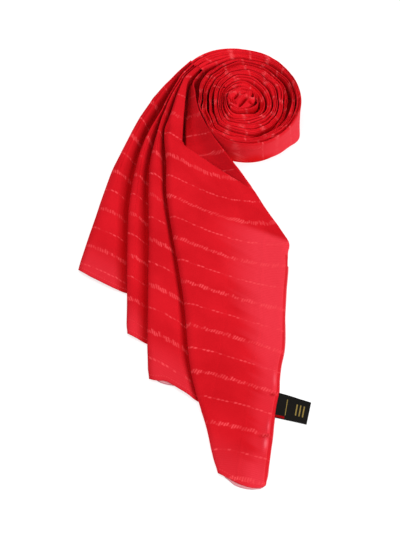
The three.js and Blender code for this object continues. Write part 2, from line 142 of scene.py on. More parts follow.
# Mesh of a grid of points (rows by columns by 3), with its own maps in metres. In the map
# cloth x runs across the cloth and y along it; in rim x is the distance from the selvage
# and y from the hem; in thin x is how pale the cloth is painted, where the table shines
# through it and also as painted light on the roll's lit wall and painted highlights on
# lifted curls, and y is painted shade, by how deep it lies in a fold, both from 0 to 1.
def gridMesh(name, points, cloth, rim=(90, 90), thin=0.0, deep=0.0, flip=False):
    rows, columns, _ = points.shape
    index = np.arange(rows * columns).reshape(rows, columns)
    quads = np.stack([index[:-1, :-1], index[:-1, 1:], index[1:, 1:], index[1:, :-1]], axis=-1)
    quads = quads.reshape(-1, 4)
    if flip:
        quads = quads[:, ::-1]
    mesh = bpy.data.meshes.new(name)
    mesh.vertices.add(rows * columns)
    mesh.vertices.foreach_set("co", ((points + layoutShift) * 0.001).reshape(-1))
    mesh.loops.add(quads.size)
    mesh.loops.foreach_set("vertex_index", quads.reshape(-1))
    mesh.polygons.add(len(quads))
    mesh.polygons.foreach_set("loop_start", np.arange(0, quads.size, 4))
    mesh.update(calc_edges=True)
    mesh.polygons.foreach_set("use_smooth", np.ones(len(quads), bool))
    thinness = np.stack(np.broadcast_arrays(thin, deep, np.zeros((rows, columns)))[:2], -1) * 1000
    for layer, values in (("cloth", cloth), ("rim", rim), ("thin", thinness)):
        values = np.broadcast_to(values, (rows, columns, 2)).reshape(-1, 2) * 0.001
        mesh.uv_layers.new(name=layer).data.foreach_set("uv", values[quads.reshape(-1)].reshape(-1))
    mesh.validate()
    return mesh


def addPiece(name, mesh, material, nodes, thickness=clothThickness):
    piece = bpy.data.objects.new(name, mesh)
    bpy.context.scene.collection.objects.link(piece)
    mesh.materials.append(material)
    if thickness:
        solid = piece.modifiers.new("wall", "SOLIDIFY")
        solid.thickness = thickness * 0.001
        solid.offset = -1
    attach(piece, "root")
    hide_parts(*nodes)
    return piece


# Distances walked along each row, and down the middle of the rows
def walk(points, axis):
    steps = np.linalg.norm(np.diff(points, axis=axis), axis=2)
    zeros = np.zeros_like(np.take(steps, [0], axis=axis))
    return np.concatenate([zeros, np.cumsum(steps, axis=axis)], axis=axis)


# Material sums: a socket that adds, multiplies and compares as a number does
class Sum:
    def __init__(self, tree, socket):
        self.tree = tree
        self.socket = socket

    def maths(self, operation, *others):
        node = self.tree.nodes.new("ShaderNodeMath")
        node.operation = operation
        for i, value in enumerate((self, *others)):
            if isinstance(value, Sum):
                self.tree.links.new(value.socket, node.inputs[i])
            else:
                node.inputs[i].default_value = value
        return Sum(self.tree, node.outputs[0])

    def __rsub__(self, other):
        return self.maths("MULTIPLY", -1.0).maths("ADD", other)

    def clamp(self):
        return self.maths("MAXIMUM", 0.0).maths("MINIMUM", 1.0)

    # 0 below low, 1 above high, a straight ramp between
    def ramp(self, low, high):
        return ((self - low) / (high - low)).clamp()


def sumMethod(operation):
    return lambda self, *others: self.maths(operation, *others)


for method, operation in (("__add__", "ADD"), ("__radd__", "ADD"), ("__sub__", "SUBTRACT"),
                          ("__mul__", "MULTIPLY"), ("__truediv__", "DIVIDE"), ("floor", "FLOOR"),
                          ("fract", "FRACT"), ("size", "ABSOLUTE")):
    setattr(Sum, method, sumMethod(operation))


class Paint:
    def __init__(self, name, colour, roughness, **constants):
        self.material = bpy.data.materials.new(name)
        self.material.use_nodes = True
        self.tree = self.material.node_tree
        self.shader = self.tree.nodes["Principled BSDF"]
        self.shader.inputs["Base Color"].default_value = (*colour, 1)
        self.shader.inputs["Roughness"].default_value = roughness
        for socket, value in constants.items():
            self.shader.inputs[socket.replace("_", " ")].default_value = value

    def node(self, kind, settings=None, inputs=None, output=0):
        made = self.tree.nodes.new(kind)
        for key, value in (settings or {}).items():
            setattr(made, key, value)
        for key, value in (inputs or {}).items():
            if isinstance(value, Sum):
                self.tree.links.new(value.socket, made.inputs[key])
            else:
                made.inputs[key].default_value = value
        return Sum(self.tree, made.outputs[output])

    def map(self, layer):
        place = self.node("ShaderNodeUVMap", {"uv_map": layer})
        split = self.tree.nodes.new("ShaderNodeSeparateXYZ")
        self.tree.links.new(place.socket, split.inputs[0])
        return (Sum(self.tree, split.outputs[0]) * 1000.0, Sum(self.tree, split.outputs[1]) * 1000.0)

    def point(self, x, y, z=0.0):
        return self.node("ShaderNodeCombineXYZ", None, {"X": x, "Y": y, "Z": z})

    def noise(self, point, scale=1.0, detail=2.0):
        return self.node("ShaderNodeTexNoise", {"noise_dimensions": "3D"},
                         {"Vector": point, "Scale": scale, "Detail": detail})

    def cellNoise(self, point):
        return self.node("ShaderNodeTexWhiteNoise", {"noise_dimensions": "3D"}, {"Vector": point})

    def mix(self, factor, a, b):
        made = self.tree.nodes.new("ShaderNodeMix")
        made.data_type = "RGBA"
        for socket, value in ((made.inputs[0], factor), (made.inputs[6], a), (made.inputs[7], b)):
            if isinstance(value, Sum):
                self.tree.links.new(value.socket, socket)
            elif isinstance(value, tuple):
                socket.default_value = (*value, 1)
            else:
                socket.default_value = value
        return Sum(self.tree, made.outputs[2])

    def feed(self, socket, value):
        self.tree.links.new(value.socket, self.shader.inputs[socket])

    def bump(self, height, strength, distance):
        return self.node("ShaderNodeBump", None,
                         {"Height": height, "Strength": strength, "Distance": distance})


# Crepe: woven stripes lie across the cloth every stripePitch, a wide one then a narrow
# one. Each is a row of short slubs, one to a cell, whose height and place come from cell
# noise, and it fades in and out along its row. Hems and the selvage are narrow doubled
# bands. Where the cloth lies in one or two layers the table makes it paler; the same pale
# mix also carries painted light on the roll's lit wall, and above 1 a pale pink painted
# highlight on lifted curls. Deep in a fold it is painted darker, a painted shade that
# reaches a near-black painted shadow, and the stripes fade there. The stripes are fainter
# where the map rim has x above 2000.
def crepePaint(name, base, stripe, shade, pale, spread=1.0, soft=0.0,
               foldShade=(0.37, 0.0002, 0.001)):
    paint = Paint(name, base, 0.8, Sheen_Weight=0.022, Sheen_Roughness=0.5,
                  Specular_IOR_Level=0.04)
    paint.shader.inputs["Sheen Tint"].default_value = (1.0, 0.3, 0.35, 1)
    across, along = paint.map("cloth")
    fromSide, fromEnd = paint.map("rim")
    thin, deep = (value * 0.001 for value in paint.map("thin"))
    wander = (paint.noise(paint.point(across * 0.02, along * 0.01), 1.0, 1.0) - 0.5) * 3.0
    step = (along + wander) / stripePitch
    number = step.floor()
    wide = 1.0 - (number / 2.0).fract().ramp(0.2, 0.3)
    slubStep = across / (4.4 - wide * 1.8) + number * 0.37
    slub = slubStep.floor()
    jitter = paint.cellNoise(paint.point(slub, number, 3.0))
    offset = (step.fract() - 0.5) * stripePitch + (jitter - 0.5) * (0.8 + wide * 0.7)
    random = paint.cellNoise(paint.point(slub, number))
    reach = (0.85 + wide * 1.25) * (0.45 + random * 0.7) * spread
    band = 1.0 - (offset.size() / reach).ramp(0.7 - soft, 1.15)
    lean = slubStep + offset * 0.18
    dash = 1.0 - (lean.fract() - 0.5).size().ramp(0.22 - wide * 0.06, 0.36 - wide * 0.03 + soft * 0.3)
    fade = paint.noise(paint.point(across * 0.05, number * 7.3), 1.0, 2.0).ramp(0.36, 0.6)
    worn = (random + wide * 0.14).ramp(0.2, 0.42)
    stripeMask = band * (0.2 + dash * 0.7) * (0.35 + fade * 0.65) * (0.2 + worn * 0.75)
    thread = paint.noise(paint.point(across * 0.22, along * 1.5), 1.0, 3.0)
    mottle = paint.noise(paint.point(across * 0.022, along * 0.03), 1.0, 2.0)
    cloth = paint.mix(thread.ramp(0.3, 0.7) * 0.3 + mottle.ramp(0.35, 0.65) * 0.7, base, shade)
    hem = 1.0 - (fromEnd - 3.9).size().ramp(0.25, 0.6)
    stitches = hem * (1.0 - ((across / 2.6).fract() - 0.5).size().ramp(0.26, 0.36))
    doubled = 1.0 - fromSide.ramp(4.0, 4.6)
    doubled = doubled + (1.0 - doubled) * (1.0 - fromEnd.ramp(3.9, 4.5)) * 0.2
    selvage = 1.0 - (fromSide - 4.3).size().ramp(0.2, 0.6)
    weft = ((along / 1.7 + mottle * 0.6).fract() - 0.5).size() * 2.0
    through = thin.clamp() * (1.0 - doubled * 0.75) * (0.42 + thread * 0.8 + weft * 0.36)
    cloth = paint.mix(through.clamp(), cloth, pale)
    # painted highlight: where thin goes above 1, on the lifted curls, the colour turns pale pinkish white
    cloth = paint.mix(thin.ramp(1.0, 2.0), cloth, (0.86, 0.15, 0.18))
    # painted shade: deep in a fold mixes toward foldShade, above 1 toward a near-black painted shadow,
    # and the stripes fade in it
    cloth = paint.mix(deep.ramp(0.12, 0.9) * 0.85, cloth, foldShade)
    cloth = paint.mix(deep.ramp(1.0, 2.0) * 0.9, cloth, (0.05, 0.0002, 0.0006))
    light = stripeMask * (1.0 - thin.clamp() * 0.4) * (1.0 - deep.ramp(0.3, 1.0) * 0.7)
    light = light * (1.0 - fromSide.ramp(2000.0, 4000.0) * 0.55)
    light = (light + stitches * 0.3 + selvage * 0.22).clamp()
    paint.feed("Base Color", paint.mix(light, cloth, stripe))
    grain = paint.noise(paint.point(across * 1.1, along * 1.3), 1.0, 3.0)
    height = grain * 0.5 + stripeMask * 0.6 + stitches * 0.3
    paint.feed("Normal", paint.bump(height, 0.5, 0.0003))
    return paint.material


crepe = crepePaint("crepe", (0.655, 0.0085, 0.0165), (0.86, 0.07, 0.083), (0.535, 0.0045, 0.010),
                   (0.745, 0.033, 0.052))
foldedCrepe = crepePaint("folded_crepe", (0.73, 0.0115, 0.021), (0.9, 0.1, 0.115),
                         (0.65, 0.0075, 0.015), (0.77, 0.044, 0.064), 1.8, 0.45,
                         (0.62, 0.0003, 0.0015))
thinCrepe = crepePaint("thin_crepe", (0.8, 0.15, 0.17), (0.86, 0.2, 0.22),
                       (0.76, 0.12, 0.14), (0.8, 0.16, 0.18))
paleCrepe = crepePaint("pale_crepe", (0.74, 0.33, 0.36), (0.76, 0.38, 0.41),
                       (0.68, 0.27, 0.3), (0.74, 0.34, 0.37))

# Outer face of the wound strip, in degrees turned clockwise from the back of the roll
spiralRows = np.array([
    [-50, 70.5, 0.5], [-33, 68.9, 0.5], [-23, 67.7, 0.6], [-8, 64.8, 0.8], [13, 62.7, 0.9],
    [36, 61.5, 1.2], [60, 61.1, 1.4], [82, 62.6, 1.2], [100, 64.3, 1.5], [119, 64.4, 0.9],
    [139, 65.2, 0.5], [160, 65, 0.4], [180, 62.4, 0.4], [198, 59.6, 0.4], [214, 52.8, 0.5],
    [231, 48.3, 1], [270, 44.6, 1.6], [300, 46.4, 1.2], [330, 48.4, 1.4], [360, 51.2, 1],
    [405, 54.6, 1.6], [450, 57.3, 2.6], [500, 59.4, 1.6], [540, 57.6, 0.6], [585, 49.5, 0.7],
    [630, 40.2, 1.8], [675, 42.6, 1.2], [720, 46.3, 0.8], [810, 50.4, 0.4], [900, 50.4, 0.4],
    [990, 33.7, 1.4], [1080, 40.4, 0.5], [1170, 46.2, 0.6], [1260, 45.6, 0.4],
    [1350, 28.2, 0.5], [1440, 35.2, 0.4], [1530, 40, 0.6], [1620, 39.6, 0.4],
    [1710, 23.4, 0.4], [1800, 29.5, 0.5], [1890, 33.7, 1.2], [1980, 33, 0.4],
    [2070, 18.8, 0.5], [2160, 22.6, 0.4], [2250, 26, 1.4], [2340, 26, 0.5],
    [2430, 16.2, 0.4], [2520, 16.2, 0.4], [2610, 18.4, 0.4], [2700, 17.4, 0.4],
    [2790, 13.6, 0.4], [2880, 12.8, 0.4], [2970, 15.6, 0.4], [3060, 14.4, 0.4],
    [3150, 6.4, 0.4], [3240, 6.2, 0.4], [3330, 6.4, 0.4], [3420, 5.2, 0.4], [3800, 0.4, 0.4]])


def outerFace(turned):
    return smoothTable(turned, spiralRows[:, 0], spiralRows[:, 1])


def rollPoints(turned, radius, z):
    azimuth = np.radians(90 - turned)
    return np.stack([rollCentre[0] + radius * np.cos(azimuth),
                     rollCentre[1] + radius * np.sin(azimuth), z], axis=-1)


# Places where a turn has slipped down, in millimetres below the others
slipped = np.array([
    [-60, 0], [330, 0], [365, 1.5], [420, 3], [470, 1], [560, 0], [620, 3], [680, 1], [740, 2],
    [790, 6.5],
    [850, 7], [900, 3.5], [960, 3], [1000, 5.5], [1060, 1.5], [1120, 0], [1200, 3], [1300, 1],
    [1350, 4], [1420, 1], [1530, 2.5], [1600, 0.5], [1700, 5], [1780, 1], [1890, 4.5],
    [1960, 1], [2060, 4], [2150, 1.5], [2240, 7], [2300, 5], [2400, 3], [2460, 1.5], [2560, 0.5],
    [2640, 1], [2760, 1], [2850, 6], [2960, 2.5], [3050, 6], [3150, 3], [3260, 7], [3800, 5]])


# A roll wound by hand: every turn is shifted by one common unevenness of the plane, which
# grows with height and dies out at the rim, so that neighbours never cross.
def unevenRoll(points):
    east, north = points[..., 0] - rollCentre[0], points[..., 1] - rollCentre[1]
    radius = np.hypot(east, north)
    grip = smoothStep(points[..., 2], 2, 30) * smoothStep(radius, 63, 48)
    inner = smoothStep(radius, 26, 12)
    for axis in range(2):
        slow = np.sin(east / 8.5 + 2.3 * axis + 1.4 * np.sin(north / 9.5 + axis))
        quick = np.sin(east / 3.9 + north / 5.1 + 4 * axis + np.sin(north / 5))
        points[..., axis] += grip * (slow * 1.0 + quick * (0.25 + 0.4 * inner))
    sag = sheetNoise(east / 9 + 20, north / 9 + 20, 81)
    points[..., 2] -= grip * (0.7 + 0.7 * sag + inner * (1.2 + 1.8 * sag))
    return points


# The outermost turn spreads at its foot on the front right, and draws in a little at the
# front, in millimetres at a height z
def cornerFlare(turned, z):
    spread = 5.4 * np.exp(-((turned - 117) / 10) ** 2)
    spread = spread - 2.4 * smoothStep(turned, 134, 158) * smoothStep(turned, 240, 205)
    return spread * np.clip(30 - z, 0, 30) / 30


# One stretch of the strip. Its section is a single layer that rises up the inner face,
# goes over each ply's rounded fold and dips between plies, deep in places, and down the
# outer face; it is tucked under at both feet. Ply widths and heights wander along the
# strip.
def windStretch(name, nodes, fromTurned, toTurned, plies, spacing, firstShares, seed, startAlong):
    turnedFine = np.linspace(fromTurned, toTurned, 4000)
    arc = np.concatenate([[0], np.cumsum(np.radians(np.diff(turnedFine)) * outerFace(turnedFine)[1:])])
    rows = int(arc[-1] / spacing) + 1
    turned = np.interp(np.linspace(0, arc[-1], rows), arc, turnedFine)
    along = np.linspace(0, arc[-1], rows)
    gap = smoothTable(turned, spiralRows[:, 0], spiralRows[:, 2])
    gap = gap + 4.6 * smoothStep(turned, -12, -48) if plies > 4 else gap * 1.5
    slip = smoothTable(turned, slipped[:, 0], slipped[:, 1])
    outer = outerFace(turned)
    inner = outerFace(turned + 360) + gap
    thickness = np.maximum(outer - inner, 0.8)
    inner = outer - thickness
    even = np.linspace(0, 1, plies + 1)[None, :]
    settle = smoothStep(turned, fromTurned, fromTurned + 70)[:, None]
    shares = np.array(firstShares)[None, :] * (1 - settle) + even * settle
    for j in range(1, plies):
        shares[:, j] += (0.42 / plies) * lineNoise(along / 34, seed + j) * settle[:, 0]
    corners = []

    def corner(share, z, push=0.0):
        corners.append(np.stack([inner + share * thickness + push, np.broadcast_to(z, inner.shape)], -1))

    def flare(z):
        return cornerFlare(turned, z) if plies > 4 else 0

    splay = -1.3 * np.maximum(gap - 0.4, 0)
    footing = 0 if plies < 5 else 4.0 * smoothStep(turned, 246, 262)
    corner(0.5, groundHeight)
    corner(0.12, groundHeight, splay)
    corner(0.02, groundHeight + 0.8, splay)
    wave = 0.25 * lineNoise(along / 9, seed + 40)
    for z in (8.0, 16.0, 24.0):
        corner(0, z, np.maximum(wave, 0))
    crests, shoulders = [], []
    for j in range(plies):
        low = 0.9 if j == 4 else 1.8
        ply = 35.65 - slip - low * (0.5 + 0.5 * lineNoise(along / 24, seed + 11 * j + 3)) \
            - 0.6 * (0.5 + 0.5 * lineNoise(along / 7, seed + 11 * j + 5)) \
            - 3.4 * smoothStep(lineNoise(along / 41, seed + 11 * j + 7), 0.15, 0.8) * (j < plies - 1)
        crests.append(ply if plies < 5 else ply * settle[:, 0] + 35.7 * (1 - settle[:, 0]))
        radius = 0.5 * (shares[:, j + 1] - shares[:, j]) * thickness
        shoulders.append(crests[j] - np.minimum(radius * 0.75, 1.5))
    dips = []
    for j in range(plies - 1):
        opened = smoothStep(lineNoise(along / 27, seed + 60 + j), 0.35, 0.8)
        dip = 0.3 + 0.5 * (1 + lineNoise(along / 12, seed + 70 + j)) + 7.5 * opened
        dips.append(np.minimum(shoulders[j], shoulders[j + 1]) - dip)
    for j in range(plies):
        left, right = shares[:, j], shares[:, j + 1]
        w = right - left
        half = np.minimum(0.3, 0.12 * w * thickness) / thickness
        rise = 0.45 * (crests[j] - shoulders[j])
        if j:
            corner(left + half, 0.4 * dips[j - 1] + 0.6 * shoulders[j])
        else:
            corner(left + half, shoulders[j] - 1.2)
        corner(left + half + 0.16 * w, shoulders[j] + rise)
        corner(left + 0.5 * w, crests[j])
        corner(right - half - 0.16 * w, shoulders[j] + rise)
        if j < plies - 1:
            corner(right - half, 0.4 * dips[j] + 0.6 * shoulders[j])
            corner(right, dips[j])
        else:
            corner(right - half, shoulders[j] - 1.2)
    wave = 0.3 * lineNoise(along / 11, seed + 41) - 0.15
    for z in (24.0, 16.0, 8.0):
        corner(1, z, np.minimum(wave, 0) + flare(z))
    corner(0.98, groundHeight + 0.8, footing + flare(1.0))
    corner(0.88, groundHeight, footing + flare(0.0))
    corner(0.5 + 0.06, groundHeight)
    sections = roundSections(np.stack(corners, axis=1), 24 + 13 * plies, 0.55)
    c, z = np.moveaxis(sections, -1, 0)
    points = rollPoints(turned[:, None], c, z)
    across = walk(points, 1)
    points = unevenRoll(points)
    points[..., 2] -= 0.5 * smoothStep(turned, -47, -50)[:, None] * (points[..., 2] > 20)
    skew = 0.1 + 0.14 * lineNoise(along / 60, seed + 90)[:, None]
    onWall = np.zeros_like(across)
    if plies > 4:
        onWall = smoothStep(c, outer[:, None] - 2.5, outer[:, None] - 1) * smoothStep(z, 34, 31)
    flecked = 0.42 + 0.58 * onWall
    cloth = pairUp(across * flecked + 60.0 + seed, startAlong + along[:, None] + skew * across)
    # painted shade: the strip is painted darker the lower it lies below the ply tops, in dips and
    # grooves, but not on the outer wall
    deep = np.clip((35.5 - slip[:, None] * 0.5 - z) / 13, 0, 1) * (1 - onWall)
    # painted light: the outer wall is painted paler on its right side, where the light falls
    thin = 0.75 * onWall * (smoothStep(turned, 200, 105) * smoothStep(turned, 30, 85))[:, None]
    rim = pairUp(90 + 4000 * onWall, 90)
    mesh = gridMesh(name, points, cloth, rim, thin, deep, flip=True)
    piece = addPiece(name, mesh, foldedCrepe, nodes)
    width = float(across[:, -1].mean()) * 0.001
    sheetArea(points) * 1e-6 / width
    print("stage", name, rows, c.shape[1])
    return startAlong + along[-1]


floorMesh = bpy.data.meshes.new("floor")
floorMesh.from_pydata([(-6, -6, 0), (6, -6, 0), (6, 6, 0), (-6, 6, 0)], [], [(0, 1, 2, 3)])
floor = bpy.data.objects.new("floor", floorMesh)
bpy.context.scene.collection.objects.link(floor)
floorPaint = Paint("pale_floor", (0.45, 0.45, 0.45), 0.9, Emission_Strength=0.64)
floorPaint.shader.inputs["Emission Color"].default_value = (1, 1, 1, 1)
floorMesh.materials.append(floorPaint.material)

rollAlong = 300.0
rollAlong = windStretch("roll_outer_cloth", ["roll_turn_1"], -50.0, 311.4, 5, 2.0,
                        [0, 0.21, 0.467, 0.609, 0.783, 1], 3, rollAlong)
rollAlong = windStretch("roll_inner_cloth", [f"roll_turn_{i}" for i in (2, 3, 4, 5)],
                        311.7, 1751.4, 3, 2.0, [0, 0.3, 0.62, 1], 17, rollAlong)
rollAlong = windStretch("roll_middle_cloth", [f"roll_turn_{i}" for i in (6, 7, 8)],
                        1751.7, 2745, 2, 1.5, [0, 0.5, 1], 31, rollAlong)


# The crumpled end inside the roll: a square of cloth pushed onto a disc whose rim turns
# down. Slits and ridges run between two points each: x, y, x, y, height and half width.
coreRows = np.array([[0, 13], [60, 14.6], [90, 15.8], [120, 15.6], [180, 14.2], [215, 13.6],
                     [240, 14], [270, 14.2], [315, 13.4], [360, 13]])
coreCreases = [
    (-6.8, -2.6, -1.6, 5.2, -7, 1.1), (-1.4, -11.5, 7.8, 0.8, -9, 1.3), (11.8, 0.6, 14.2, 8, -8, 1.3),
    (-11.8, 0.4, -9.6, -7, -3.5, 0.6), (-9.2, -0.4, -7, -9, -3.5, 0.6), (-6.8, -4.4, -4.6, -9.4, -3, 0.6),
    (0.5, 3.2, 6.4, 6, -3, 0.8), (7.6, -4.8, 12.4, -9.4, -5, 1), (-12, 4.5, -4, 10.6, -2, 0.9),
    (-4, -8, 3.4, 2.2, 1.6, 1.7), (5, -8, 10, -2.4, 1.6, 1.5), (-9.4, 3, -3.4, 8, 1, 2.6),
    (8.8, 2, 9.6, 8, 1.5, 1.4), (-13.4, -3, -12.6, 5, -2.5, 0.7), (0, 11.2, 11, 8.4, -3, 0.9)]


def layCore():
    side = np.linspace(-1.7, 1.7, 131)
    u, v = np.meshgrid(side, side)
    reach = np.maximum(np.maximum(np.abs(u), np.abs(v)), 1e-6)
    capped = np.minimum(reach, 1)
    a, b = u / reach * capped, v / reach * capped
    x, y = a * np.sqrt(1 - 0.5 * b * b), b * np.sqrt(1 - 0.5 * a * a)
    turned = np.degrees(np.arctan2(x, y)) % 360
    radius = lookUp(turned, coreRows)
    x, y = x * radius, y * radius
    z = 33.8 - 1.2 * capped ** 4 + 0.9 * sheetNoise(x / 4.5 + 30, y / 4.5 + 30, 47)
    for fromX, fromY, toX, toY, height, half in coreCreases:
        run = np.array([toX - fromX, toY - fromY])
        length = np.linalg.norm(run)
        t = ((x - fromX) * run[0] + (y - fromY) * run[1]) / length ** 2
        off = np.abs((x - fromX) * run[1] - (y - fromY) * run[0]) / length
        off = off + 0.25 * sheetNoise(x / 1.7 + 9, y / 1.7 + 9, 49)
        ends = smoothStep(t, -0.15, 0.2) * smoothStep(t, 1.15, 0.8)
        z += height * ends * np.exp(-(off / half) ** 2)
    down = np.maximum(reach - 1, 0) / 0.7
    z = z * (1 - down) + 0.4 * down
    rounded = 1 - 0.35 * smoothStep(reach, 0.9, 1.0) * smoothStep(reach, 1.1, 1.0) / radius
    points = np.stack([rollCentre[0] + x * rounded, rollCentre[1] + y * rounded, z], -1)
    cloth = np.stack([60 + u * 20, rollAlong + v * 16 + u * 6], -1)
    # painted shade: the core is painted darker the lower it lies in its hollows, towards near black in
    # the deepest
    mesh = gridMesh("roll_core_cloth", points, cloth, deep=np.clip((33 - z) / 6, 0, 1.6))
    piece = addPiece("roll_core_cloth", mesh, foldedCrepe, ["roll_core"])
    sheetArea(points) * 1e-6 / 0.04
    print("stage core")


layCore()

# Fan: lines laid across the pleats, as in the CAD part. A column per fold, crest, valley.
fanRows = np.array([
    [-12, 234.5, -41.3, 2.2, 6.2, 9.4, 12, 36, 35.4, 35.2, 36, 27, 27, 27],
    [-24.2, 220.4, -40, 0, 6.4, 8.9, 11.4, 34.4, 34.5, 34.8, 36, 23, 26, 27],
    [-31.6, 213, -38, 0, 9.2, 11.9, 14.6, 33, 32.7, 33.3, 34.8, 18.5, 24.5, 25],
    [-39, 205.6, -36.5, 0, 11.8, 14.5, 18.3, 31.5, 30.8, 31.8, 32.8, 15.5, 22, 22],
    [-45, 198.8, -35, 0, 13.8, 16.6, 22, 29.8, 29, 30.4, 31.2, 13, 20, 19],
    [-51, 191.9, -33.5, 0, 16.2, 19.2, 25.7, 28.2, 27, 28.6, 29.7, 11, 18, 16.5],
    [-54.7, 186.4, -33.7, 0.2, 17.3, 20.8, 27.6, 27, 25.3, 27, 28.6, 10, 16, 15],
    [-58.5, 180.5, -34, 0.2, 17.7, 22, 29.3, 25.7, 24, 25.4, 27.4, 9.2, 14, 13.5],
    [-62.3, 174.2, -34.5, 0.1, 17.7, 24.2, 31, 24.5, 22.6, 24.1, 26.2, 8.5, 12.4, 12],
    [-66, 167.8, -35, 0.2, 17.6, 26.3, 35, 23.4, 21.3, 22.9, 24.4, 8, 11, 11],
    [-72.5, 153.2, -33, 0, 17.3, 28.9, 43.7, 21.2, 18.6, 20.7, 21.4, 7, 9, 9.4],
    [-79, 138, -31, 0, 18.6, 32.5, 51.7, 19, 16, 18.2, 19, 6.2, 7.4, 8.2],
    [-85, 124, -29.5, 0.1, 21.5, 37.1, 57.9, 17.2, 14.2, 16.5, 17.8, 5.6, 6.4, 7.4],
    [-90.6, 110.2, -28, 0, 24.7, 42.8, 63.9, 15.6, 13, 15.2, 16.8, 5.2, 5.8, 6.8],
    [-96.5, 90, -28, 0.1, 28.4, 49.9, 74.1, 14, 11.8, 13.7, 15.5, 4.8, 5.2, 6.2],
    [-101.8, 70.5, -28, 0, 32.9, 56.4, 84.4, 12.4, 10.8, 12.5, 14.2, 4.4, 4.9, 5.8],
    [-107, 50.5, -28, 0.1, 38.7, 62.9, 95.1, 10.8, 9.9, 11.5, 13.4, 4.1, 4.6, 5.4],
    [-112.1, 30.5, -28, 0, 44.7, 69, 105.3, 9.2, 9, 10.6, 12.7, 3.9, 4.4, 5],
    [-116.5, 12, -28, 0, 50.1, 74.2, 113.9, 7.8, 8.3, 10, 12.1, 3.7, 4.2, 4.7],
    [-120.7, -5.3, -28, 0, 55.5, 79.1, 121, 6.2, 7.8, 9.4, 11.5, 3.5, 4, 4.5],
    [-126.8, -16.8, -28, 0, 63, 86.2, 129.2, 0, 7.2, 8.9, 11, 0, 3.8, 4.3],
    [-132.9, -28.3, -28, 0, 70.4, 93.3, 137.6, 0, 6.6, 8.5, 10.4, 0, 3.6, 4.1],
    [-139.3, -40.4, -28, 0, 78.3, 100.8, 146.7, 0, 5.8, 8.1, 9.8, 0, 3.4, 3.9],
    [-147, -54.7, -28, 0, 0, 110.8, 159.2, 0, 0, 7.2, 9, 0, 0, 3.7],
    [-154.7, -69.2, -28, 0, 0, 120.5, 174.5, 0, 0, 6.2, 8.2, 0, 0, 3.4],
    [-162.9, -84.8, -28, 0, 0, 0, 191.5, 0, 0, 0, 7, 0, 0, 0],
    [-171.4, -100.7, -28, 0, 0, 0, 206.4, 0, 0, 0, 5.8, 0, 0, 0],
    [-179.6, -116.1, -28, 0, 0, 0, 221.6, 0, 0, 0, 4.2, 0, 0, 0]])
fanColumns = ["x", "y", "turn", "fold1", "fold2", "fold3", "fold4",
              "crest1", "crest2", "crest3", "crest4", "valley1", "valley2", "valley3"]
hemRow = {1: 19, 2: 22, 3: 24, 4: 27}
diagonalRow = 9
valleyShare = 0.72
neckRows = np.array([
    [16.4, 35.6], [16.9, 35], [21.7, 33.4], [28.9, 31.4], [34.7, 29.4], [40.3, 27.6],
    [44.2, 26.3], [48.5, 25], [53, 23.6], [57.4, 22.2]])
flapRows = np.array([
    [16.9, 26, 20.6, 35.6], [17.6, 20, 23.2, 35.8], [23.8, 15, 33.4, 35.6],
    [32.2, 12.5, 44, 35.2], [37.9, 10.8, 54.4, 34.2], [43.4, 9.6, 67, 32.4],
    [48, 8.6, 80.8, 29.6], [52.8, 7.8, 100.6, 24.8], [56.6, 7, 126.4, 17.6],
    [58.6, 6.4, 149.4, 10.4]])
broadRows = np.array([
    [149.9, 10.8, 15, 0], [167, 8.8, 12.6, 0], [185.9, 6.9, 10.8, 0], [199.9, 6, 9.8, 0],
    [203.2, 5.6, 9.2, 0], [208.7, 4.9, 8.6, 0], [212.2, 4.4, 8.2, 0], [216.3, 4, 7.8, 0],
    [221, 3.7, 7.4, 0], [224.6, 3.5, 7.1, 0], [225.2, 3.4, 6.9, 0], [230.1, 3.3, 6.7, 0],
    [235.8, 3.2, 6.5, 0], [239.7, 3.1, 6.2, 0], [245.3, 3, 5.8, 0], [251.4, 3, 5.3, 0.4],
    [256.9, 3, 4.8, 2.4], [261.8, 3, 4.3, 6.5], [266, 3, 3.8, 11.5]])
foldPitch = 35.5
layerPeek = 0.9
layerLift = 0.7
hemRetreat = 0.54


# Fan lines between two rows, a line about every spacing, with every column smoothed
def fanLines(first, last, spacing):
    table = fanRows[first:last + 1]
    rows = np.arange(first, last + 1)
    length = np.linalg.norm(np.diff(table[:, :2], axis=0), axis=1).sum()
    at = np.linspace(first, last, int(length / spacing) + 1)
    return at, {c: smoothTable(at, rows, table[:, i]) for i, c in enumerate(fanColumns)}


def fanPoints(line, along, z, bow=0.0):
    turn = np.radians(line["turn"])[:, None]
    x = line["x"][:, None] + along * np.cos(turn) - bow * np.sin(turn)
    y = line["y"][:, None] + along * np.sin(turn) + bow * np.cos(turn)
    return np.stack([x, y, np.broadcast_to(z, x.shape)], axis=-1)


def tuckOf(line, index):
    k = min(index, 3)
    return np.minimum(0.22 * (line[f"fold{k + 1}"] - line[f"fold{k}"]), 1.7)


# Distance from the last line, square to the lines, at the middle of a pleat
def squareDistance(line, points):
    middle = points[:, points.shape[1] * 3 // 5]
    turn = np.radians(line["turn"])[:-1]
    step = np.diff(middle, axis=0)
    down = step[:, 0] * np.sin(turn) - step[:, 1] * np.cos(turn)
    walked = np.concatenate([[0], np.cumsum(np.hypot(down, step[:, 2]))])
    return walked[-1] - walked


def surfaceNormals(points):
    down = np.gradient(points, axis=0)
    across = np.gradient(points, axis=1)
    normal = np.cross(across, down)
    normal /= np.maximum(np.linalg.norm(normal, axis=2, keepdims=True), 1e-9)
    return normal


